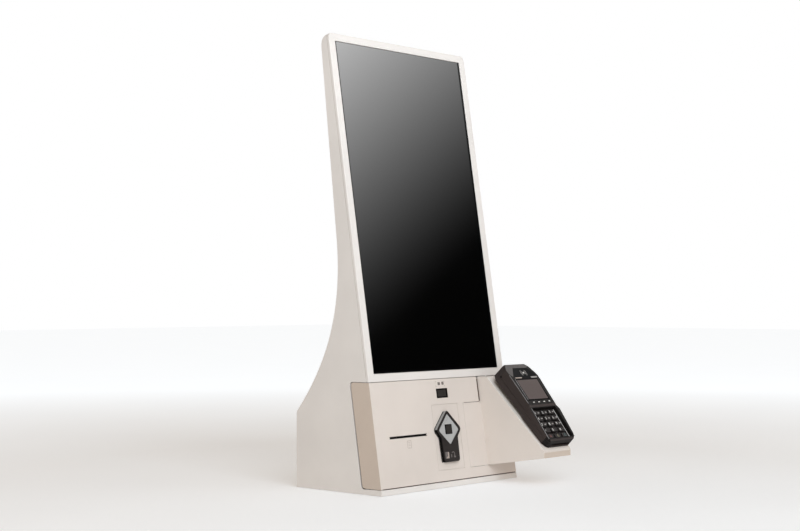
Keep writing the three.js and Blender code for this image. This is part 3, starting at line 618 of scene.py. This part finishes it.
def recesses():
    """What shows behind the two windows, and painted shade behind and along the receipt slot, round the
    foot of the reader's left side and in the seams of the door.
    """
    # Painted shade behind the receipt slot and along its upper and lower edges.
    slot_shade = oblong(-151.6, 97.8, -55.2, 100.2, 0.8)
    plate("receipt_slot_shade", slot_shade, 0.6, on_front(1.2), "door", "black_plastic", PAINTED_SHADE_BLACK)
    slot_edge_shade = [oblong(-153.2, 96.9, -53.6, 97.75, 0.3), oblong(-153.2, 100.25, -53.6, 101.1, 0.3)]
    marks("receipt_edge_shade", slot_edge_shade, on_front(0), "door", "black_plastic", PAINTED_SHADE_BLACK, 0.12)
    sensor = oblong(-10.4, 165.6, 13.6, 178.4)
    plate("scan_sensor", sensor, 0.05, on_front(0.5), "door", "black_glass", DEEP)
    plate("eye_sensor", oblong(-5.4, 97.4, 9.6, 112.2), 0.05, on_front(-5.7), "door", "black_glass", DEEP)
    # A painted shadow along the foot of the reader's raised left side.
    reader_shadow = reader_outline(1.5) + reader_outline(-0.1)[::-1]
    marks("reader_edge_shadow", [reader_shadow], on_front(0), "door", "black_plastic", PAINTED_SHADE_BLACK)
    # Painted shade in the door's seam at its foot, under the notch and in the gap between the notch and
    # the bracket.
    foot_line = oblong(-186, 10.8, 186, 11.8)
    marks("door_foot_line", [foot_line], on_front(0), "door", "black_plastic", SEAM_SHADE, 0.04)
    marks("gap_line", [oblong(60, 150.7, 105, 151.5)], on_front(0), "door", "black_plastic", SEAM_SHADE, 0.04)
    gap = oblong(104.9, 152.4, 108.05, 194)
    plate("notch_gap_shade", gap, 0.5, on_front(1.0), "cabinet", "black_plastic", SEAM_SHADE)


screen_sheet()
front_marks()
recesses()


# ---------------------------------------------------------------- the card terminal's marks, painted highlights and painted shade
def terminal_marks():
    """The terminal's small display, its dark fascia with a contactless symbol, and two light bars."""
    top = HEAD @ placed(0, 0, -0.2)
    plate("terminal_display", [(-29.4, 13.2), (28.2, 12.4), (31.2, 57.6), (-30.6, 57.8)], 0.08, top,
          "cabinet", "black_glass", DISPLAY)
    # The head's upper end in a lighter copy of the case colour: painted light.
    crown = [(-35, 66), (-31.6, 70), (-21, 86.2), (21, 85.6), (27.5, 88), (19.5, 94), (-37, 94), (-43, 82),
             (-42.3, 74)]
    plate("terminal_crown", crown, 0.06, HEAD, "cabinet", "terminal_case", CASE_PAINTED_LIGHT)
    fascia = [(-31.5, 60.4), (36, 60.4), (37, 66), (30.5, 76.5), (21, 84.4), (-20.5, 85), (-30.5, 69)]
    plate("terminal_fascia", fascia, 0.12, HEAD, "cabinet", "black_glass", GLASS_EDGE)
    over = HEAD @ placed(0, 0, 0.12)
    for side, ink, outline in (("left", MARK_WARM, oblong(-30.6, 61.6, -11, 63.8, 1)),
                               ("right", MARK_GREY, oblong(17, 61.2, 35.5, 64.4, 1))):
        marks(f"terminal_light_{side}", [outline], over, "cabinet", "terminal_case", ink, 0.3)
    marks("terminal_dot", [oblong(1.2, 71.8, 5, 75.6, 1.8)], over, "cabinet", "black_glass", MARK_WHITE)
    waves = [band(3.1, 73.7, r, 1.1, a - 50, a + 50) for r in (4.6, 8) for a in (0, 180)]
    marks("terminal_waves", waves, over, "cabinet", "black_glass", MARK_GREY)
    # A disc painted near black as the shade of a hole in the terminal's side.
    hole = TERMINAL @ placed(-44.3, 160.5, 15) @ turned(-math.pi / 2, "Y")
    disc = band(0, 0, 1.0, 2.0, 0, 350, 14)
    plate("terminal_side_hole", disc, 0.4, hole, "cabinet", "terminal_case", PAINTED_SHADE_BLACK)


def key_marks():
    """A figure on each key with a small bar beside it, and plain shapes on the bottom row."""
    names = (("key_1", "key_2", "key_3"), ("key_4", "key_5", "key_6"), ("key_7", "key_8", "key_9"),
             ("key_star", "key_0", "key_hash"))
    figures = {"key_star": "*", "key_hash": "#"}
    for row, line in enumerate(names):
        for column, name in enumerate(line):
            place = DECK @ placed((column - 1) * KEY_PITCH[0], TOP_ROW - row * KEY_PITCH[1], KEY_TOP)
            text = figures.get(name, name[-1])
            drop = -1.2 if text == "*" else 0
            left = place @ placed(-5.0, drop, 0)
            numeral(f"{name}_figure", text, 7.4, left, name, "key_plastic", MARK_WHITE)
            if text not in "0*#":
                bars = [oblong(2.4, -1.2, 6.4, 1.2, 0.6, 2)]
                marks(f"{name}_bar", bars, place, name, "key_plastic", MARK_GREY)
    shapes = {
        "key_cancel": (MARK_RED, [stroke(-2.6, -2.6, 2.6, 2.6, 1.1), stroke(-2.6, 2.6, 2.6, -2.6, 1.1)]),
        "key_clear": (MARK_AMBER, [stroke(1.8, -2.8, -2.2, 0.2, 1.1), stroke(1.8, 2.8, -2.2, -0.2, 1.1)]),
        "key_enter": (MARK_GREEN, [band(0, 0, 2.5, 1.1, 0, 180), band(0, 0, 2.5, 1.1, 180, 360)]),
    }
    for column, (name, (ink, outlines)) in enumerate(shapes.items()):
        place = DECK @ placed((column - 1) * KEY_PITCH[0], TOP_ROW - 4 * KEY_PITCH[1], KEY_TOP)
        marks(f"{name}_shape", outlines, place, name, "key_plastic", ink)
    for i in range(4):
        place = HEAD @ placed((i - 1.5) * 15.9 + 1.2, 5.2, -1.0 + 1.8)
        outline = oblong(-2.4, -1, 2.4, 1, 0.6, 3)
        marks(f"soft_key_{i + 1}_mark", [outline], place, f"soft_key_{i + 1}", "key_plastic", MARK_WHITE)


def keypad_highlights():
    """Painted highlights on the tray, the left edges and the bracket's fold, and painted shade on the
    right edges.
    """
    side, width = POCKET_HALF - WALL_GAP, 1.2
    # White strips on the tray's rims: painted highlights.
    highlight_strips = [oblong(side - width, 5, side, 68), oblong(-side, 5, width - side, 68)]
    marks("keypad_highlights", highlight_strips, DECK @ placed(0, 0, -8), "cabinet", "black_plastic", MARK_WHITE, 0.3)
    # Painted highlights along the left edges of the deck and the head, and at the lens's left border.
    low = [(-40.6, 1), (-39.6, 1), (-36.8, 69), (-37.8, 69)]
    marks("deck_edge_highlight", [low], DECK, "cabinet", "terminal_case", EDGE_HIGHLIGHT_GREY, 0.1)
    # Painted shade along the right edges of the deck and the head.
    shade_low = [(37, 2), (39.6, 2), (41.6, 66), (37, 69)]
    marks("deck_edge_shade", [shade_low], DECK, "cabinet", "terminal_case", CASE_SHADE)
    shade_high = [(33.4, 1.5), (39.2, 1.5), (41.8, 60), (33.4, 60)]
    marks("head_edge_shade", [shade_high], HEAD, "cabinet", "terminal_case", CASE_SHADE)
    outer = [(-40.2, 4), (-39.3, 4), (-42.2, 70), (-43.1, 70)]
    inner = [(-33.6, 12), (-32.8, 12), (-32.8, 60), (-33.6, 60)]
    marks("head_edge_highlight", [outer, inner], HEAD, "cabinet", "terminal_case", EDGE_HIGHLIGHT_GREY, 0.1)
    # A painted highlight along the bracket's fold.
    fold = SLOPE_FRAME @ placed(108.3, 0, 0)
    marks("bracket_fold_highlight", [oblong(0, -184, 1.8, -4)], fold, "cabinet", "door_beige", FOLD_HIGHLIGHT, 0.06)


terminal_marks()
key_marks()
keypad_highlights()


# ---------------------------------------------------------------- fasteners on the back
def screw(name, place):
    """A low domed screw head, nearly flush with the cover, with a round recess painted dark as shade."""
    radius, rise, points, rows = 2.8, 0.3, 24, 5
    work = bmesh.new()
    rings = []
    for i in range(rows):
        turn = math.radians(90 * i / (rows - 1))
        reach, height = radius * math.cos(turn * 0.72), rise * math.sin(turn)
        rings.append([work.verts.new((reach * math.cos(a), reach * math.sin(a), height))
                      for a in (math.tau * k / points for k in range(points))])
    for low, high in zip(rings, rings[1:]):
        for k in range(points):
            work.faces.new((low[k], low[(k + 1) % points], high[(k + 1) % points], high[k]))
    work.faces.new(rings[0][::-1])
    cap = work.faces.new(rings[-1])
    bmesh.ops.inset_region(work, faces=[cap], thickness=0.2)
    bmesh.ops.translate(work, vec=Vector((0, 0, -0.12)), verts=cap.verts)
    # The recess takes the near black painted shade.
    cap.material_index = 1
    for face in work.faces:
        face.smooth = True
    mesh = bpy.data.meshes.new(name)
    work.to_mesh(mesh)
    work.free()
    mesh.transform(place @ Matrix.Scale(MM, 4))
    mesh.materials.append(LOOKS["steel"])
    mesh.materials.append(PAINTED_SHADE_BLACK)
    new_piece(name, mesh, "cabinet", "steel")


def rear_details():
    """The six screws of the rear cover."""
    back = on_rear(214.28)
    for i, (x, z) in enumerate(((-96, 30), (96, 30), (-96, 110), (96, 110), (0, 30), (0, 110))):
        screw(f"cover_screw_{i + 1}", back @ placed(x, z, 0))


rear_details()


# ---------------------------------------------------------------- floor, light and background
def make_stage():
    """A pale floor that brightens with distance until it meets the white background."""
    work = bmesh.new()
    bmesh.ops.create_grid(work, x_segments=2, y_segments=2, size=14)
    mesh = bpy.data.meshes.new("floor")
    work.to_mesh(mesh)
    work.free()
    floor = bpy.data.objects.new("floor", mesh)
    bpy.context.collection.objects.link(floor)
    look = Surface("floor", 0.9, specular=0.1)
    look.colour(look.ramp(look.noise(3, 2), (0.72, 0.745, 0.77, 1), (0.74, 0.765, 0.79, 1)))
    reach = look.node("ShaderNodeVectorMath", operation="LENGTH")
    look.tree.links.new(look.coordinates, reach.inputs[0])
    apart = look.node("ShaderNodeMapRange")
    apart.inputs["From Min"].default_value = 0.9
    apart.inputs["From Max"].default_value = 3.2
    look.tree.links.new(reach.outputs["Value"], apart.inputs["Value"])
    glow = look.ramp(apart.outputs["Result"], (0.28, 0.27, 0.262, 1), (0.62, 0.67, 0.72, 1), 0, 1)
    look.tree.links.new(glow, look.shader.inputs["Emission Color"])
    look.shader.inputs["Emission Strength"].default_value = 1.0
    mesh.materials.append(look.material)


def area_light(name, place, target, size, power, colour):
    """A square soft light that points at a target."""
    data = bpy.data.lights.new(name, "AREA")
    data.size = size
    data.energy = power
    data.color = colour
    light = bpy.data.objects.new(name, data)
    light.location = place
    light.rotation_euler = (Vector(target) - Vector(place)).to_track_quat("-Z", "Y").to_euler()
    bpy.context.collection.objects.link(light)


def reflection_card():
    """A card that only gloss sees, bright at its upper left and black below, for the screen to mirror."""
    centre = Vector((1.55, -1.35, 0.95))
    normal = (Vector((0, 0.05, 0.5)) - centre).normalized()
    across = normal.cross(Vector((0, 0, 1))).normalized()
    up = across.cross(normal)
    work = bmesh.new()
    wide, tall = across * 1.6, up * 1.3
    corners = [centre - wide - tall, centre + wide - tall, centre + wide + tall, centre - wide + tall]
    work.faces.new([work.verts.new(c) for c in corners])
    mesh = bpy.data.meshes.new("card")
    work.to_mesh(mesh)
    work.free()
    card = bpy.data.objects.new("card", mesh)
    bpy.context.collection.objects.link(card)
    for ray in ("camera", "diffuse", "transmission", "volume_scatter", "shadow"):
        setattr(card, f"visible_{ray}", False)
    material = bpy.data.materials.new("card")
    material.use_nodes = True
    tree = material.node_tree
    tree.nodes.clear()
    output = tree.nodes.new("ShaderNodeOutputMaterial")
    glow = tree.nodes.new("ShaderNodeEmission")
    where = tree.nodes.new("ShaderNodeTexCoord")
    slant = up - across * 0.6
    level = tree.nodes.new("ShaderNodeVectorMath")
    level.operation = "DOT_PRODUCT"
    level.inputs[1].default_value = slant
    tree.links.new(where.outputs["Object"], level.inputs[0])

    def step(operation, source, value):
        made = tree.nodes.new("ShaderNodeMath")
        made.operation = operation
        made.inputs[1].default_value = value
        tree.links.new(source, made.inputs[0])
        return made.outputs[0]

    start, strength = 0.2, 4.4
    height = step("MAXIMUM", step("ADD", level.outputs["Value"], start - slant.dot(centre)), 0)
    tree.links.new(step("MULTIPLY", step("POWER", height, 2), strength), glow.inputs["Strength"])
    tree.links.new(glow.outputs["Emission"], output.inputs["Surface"])
    mesh.materials.append(material)


def make_world():
    """A white room for the eye and a softer, slightly warm one for the light."""
    world = bpy.data.worlds.new("studio")
    world.use_nodes = True
    tree = world.node_tree
    lit = tree.nodes["Background"]
    lit.inputs["Color"].default_value = (1.0, 0.844, 0.689, 1)
    lit.inputs["Strength"].default_value = 0.45
    seen = tree.nodes.new("ShaderNodeBackground")
    seen.inputs["Color"].default_value = (1, 1, 1, 1)
    path = tree.nodes.new("ShaderNodeLightPath")
    pick = tree.nodes.new("ShaderNodeMixShader")
    tree.links.new(path.outputs["Is Camera Ray"], pick.inputs["Fac"])
    tree.links.new(lit.outputs["Background"], pick.inputs[1])
    tree.links.new(seen.outputs["Background"], pick.inputs[2])
    tree.links.new(pick.outputs["Shader"], tree.nodes["World Output"].inputs["Surface"])
    bpy.context.scene.world = world


make_stage()
area_light("key", (-1.6, -2.6, 2.0), (0, 0, 0.35), 2.4, 70, (0.85, 0.93, 1.0))
area_light("top", (0.3, -0.9, 3.0), (0, 0, 0.3), 2.2, 12, (0.6, 0.8, 1.0))
reflection_card()
make_world()
bpy.context.scene.view_settings.view_transform = "Standard"
